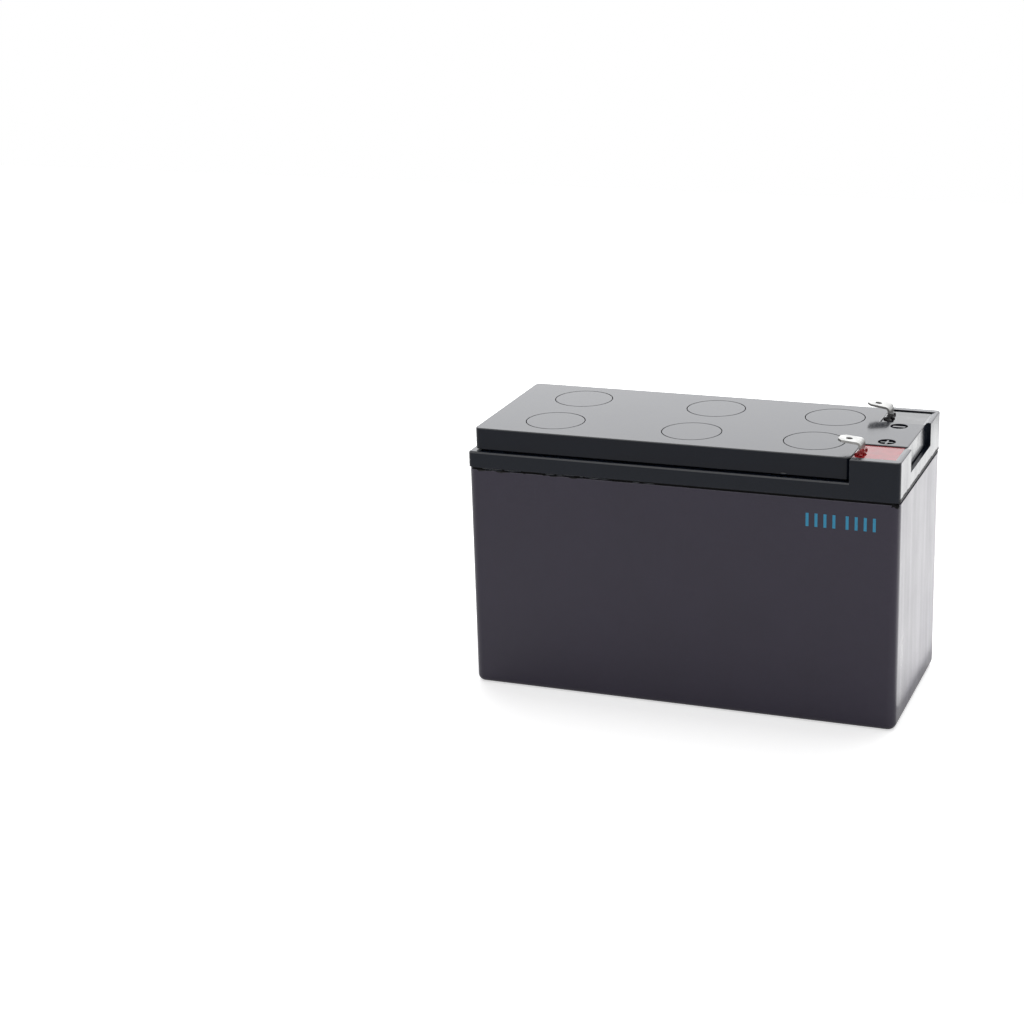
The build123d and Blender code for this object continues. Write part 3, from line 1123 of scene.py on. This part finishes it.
def place_camera(studio):
    """Makes the camera that takes the picture."""
    data = bpy.data.cameras.new("picture_camera")
    data.sensor_width = SENSOR_WIDTH
    data.lens = studio.camera_focal_pixels / IMAGE_WIDTH * SENSOR_WIDTH
    camera = bpy.data.objects.new("picture_camera", data)
    turn = Matrix.Rotation(studio.camera_heading, 4, "Z")
    dip = Matrix.Rotation(math.pi / 2 - studio.camera_dip, 4, "X")
    roll = Matrix.Rotation(studio.camera_roll, 4, "Z")
    camera.matrix_world = Matrix.Translation(studio.camera_place) @ turn @ dip @ roll
    bpy.context.scene.collection.objects.link(camera)
    bpy.context.scene.camera = camera


def soft_panel(name, place, aim, size, power, colour=WHITE):
    """A soft rectangular lamp that points at a place and isn't seen itself."""
    lamp = bpy.data.lights.new(name, "AREA")
    lamp.shape = "RECTANGLE"
    lamp.size, lamp.size_y = size
    lamp.energy = power
    lamp.color = colour
    panel = bpy.data.objects.new(name, lamp)
    panel.location = place
    panel.rotation_euler = (aim - place).to_track_quat("-Z", "Y").to_euler()
    panel.visible_camera = False
    bpy.context.scene.collection.objects.link(panel)


def seen_directly(nodes, mirrored):
    """One for a ray from the camera or through glass, a share for one off a mirror, and else nought."""
    path = nodes.add("ShaderNodeLightPath").outputs
    seen = nodes.math("MAXIMUM", path["Is Camera Ray"], path["Is Transmission Ray"])
    return nodes.math("MAXIMUM", seen, nodes.math("MULTIPLY", path["Is Glossy Ray"], mirrored))


def make_floor():
    """The white floor, which keeps the battery's shadow."""
    mesh = bmesh.new()
    bmesh.ops.create_grid(mesh, x_segments=1, y_segments=1, size=FLOOR_WIDTH / 2)
    data = bpy.data.meshes.new("floor")
    mesh.to_mesh(data)
    mesh.free()
    floor = bpy.data.objects.new("floor", data)
    floor.location.z = CAD_LOW.z
    bpy.context.scene.collection.objects.link(floor)
    nodes, shader = new_finish("floor", roughness=0.9, specular_ior_level=0.0)
    nodes.feed(shader.inputs["Base Color"], solid(FLOOR_COLOUR))
    nodes.feed(shader.inputs["Emission Color"], solid(WHITE))
    glow = nodes.math("MULTIPLY", seen_directly(nodes, FLOOR_IN_MIRRORS), FLOOR_GLOW)
    nodes.feed(shader.inputs["Emission Strength"], glow)
    data.materials.append(finish_of("floor"))


def make_room(ambient):
    """A white room: full white where it is seen, and softer where it lights matt surfaces."""
    world = bpy.data.worlds.new("white_room")
    world.use_nodes = True
    nodes = Nodes(world.node_tree)
    background = world.node_tree.nodes["Background"]
    nodes.feed(background.inputs["Color"], solid(WHITE))
    strength = nodes.remap(seen_directly(nodes, ROOM_IN_MIRRORS), 0.0, 1.0, ambient, 1.0)
    nodes.feed(background.inputs["Strength"], strength)
    bpy.context.scene.world = world


class BATTERY_OT_stage(bpy.types.Operator):
    """Makes the floor, the room, the lights and the camera"""

    bl_idname = "battery.stage"
    bl_label = "Stage"

    def execute(self, context):
        studio = context.scene.battery_studio
        context.scene.view_settings.view_transform = "Standard"
        middle = (CAD_LOW + CAD_HIGH) / 2
        make_floor()
        make_room(studio.ambient)
        backdrop = (studio.backdrop_power, studio.backdrop_colour)
        soft_panel("backdrop_panel", BACKDROP_PLACE, middle, BACKDROP_SIZE, *backdrop)
        soft_panel("table_panel", TABLE_PLACE, TABLE_PLACE + UP, TABLE_SIZE, studio.table_power)
        soft_panel("overhead_panel", OVERHEAD_PLACE, middle, OVERHEAD_SIZE, studio.overhead_power)
        place_camera(studio)
        return {"FINISHED"}


class BATTERY_PT_pieces(bpy.types.Panel):
    """Lists the battery's pieces, sizes and finishes"""

    bl_idname = "BATTERY_PT_pieces"
    bl_label = "Sealed Battery"
    bl_space_type = "VIEW_3D"
    bl_region_type = "UI"
    bl_category = "Battery"

    def draw(self, context):
        for operator in OPERATORS:
            self.layout.operator(operator.bl_idname)
        scene = context.scene
        for settings in (scene.battery_sizes, scene.battery_finishes, scene.battery_studio):
            column = self.layout.column()
            for name in settings.__annotations__:
                column.prop(settings, name)


OPERATORS = (
    BATTERY_OT_finishes,
    BATTERY_OT_shells,
    BATTERY_OT_vents,
    BATTERY_OT_terminals,
    BATTERY_OT_signs,
    BATTERY_OT_moulding_marks,
    BATTERY_OT_inside,
    BATTERY_OT_stage,
)
CLASSES = (ShellSizes, Finishes, Studio, *OPERATORS, BATTERY_PT_pieces)


def register():
    """Adds the classes, and the settings to the scene."""
    for cls in CLASSES:
        bpy.utils.register_class(cls)
    bpy.types.Scene.battery_sizes = bpy.props.PointerProperty(type=ShellSizes)
    bpy.types.Scene.battery_finishes = bpy.props.PointerProperty(type=Finishes)
    bpy.types.Scene.battery_studio = bpy.props.PointerProperty(type=Studio)


def unregister():
    """Takes away what register added."""
    del bpy.types.Scene.battery_studio
    del bpy.types.Scene.battery_finishes
    del bpy.types.Scene.battery_sizes
    for cls in reversed(CLASSES):
        bpy.utils.unregister_class(cls)


def main():
    """Registers the add-on and runs its operators in order."""
    register()
    bpy.ops.battery.finishes()
    bpy.ops.battery.shells()
    bpy.ops.battery.vents()
    bpy.ops.battery.terminals()
    bpy.ops.battery.signs()
    bpy.ops.battery.moulding_marks()
    bpy.ops.battery.inside()
    bpy.ops.battery.stage()


if __name__ == "__main__":
    main()
